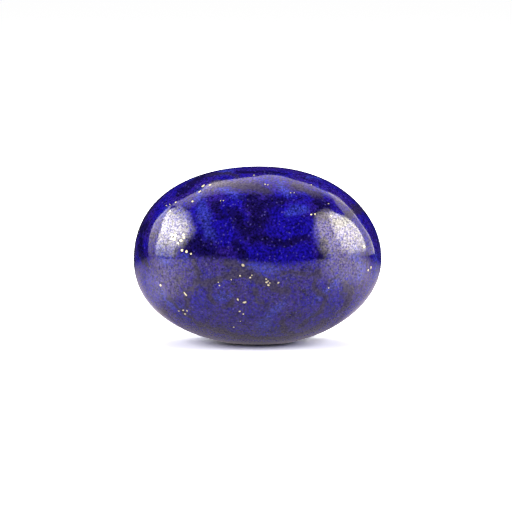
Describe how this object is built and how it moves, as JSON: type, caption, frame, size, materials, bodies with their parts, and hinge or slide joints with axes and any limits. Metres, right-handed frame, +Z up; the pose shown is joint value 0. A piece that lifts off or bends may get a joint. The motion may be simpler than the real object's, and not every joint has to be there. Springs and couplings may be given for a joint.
{
  "type": "polished lapis lazuli stone",
  "caption": "Plump oval pebble of polished deep blue lapis lazuli with pyrite flecks and grey veins, standing on a small flat worn into its lower long edge.",
  "frame": {"origin": "under the middle of the stone, on the flat that it rests on", "axes": "+X along the stone's length, -Y out of the side that the picture shows, +Z up through the crown"},
  "size_m": [0.025, 0.0188, 0.0179],
  "materials": {
    "lapis": "polished to a gloss, faintly grained, deep ultramarine with azure and near-black patches, grey veins and brassy pyrite flecks"
  },
  "bodies": {
    "root": {"lapis_stone": "lapis"}
  },
  "joints": []
}
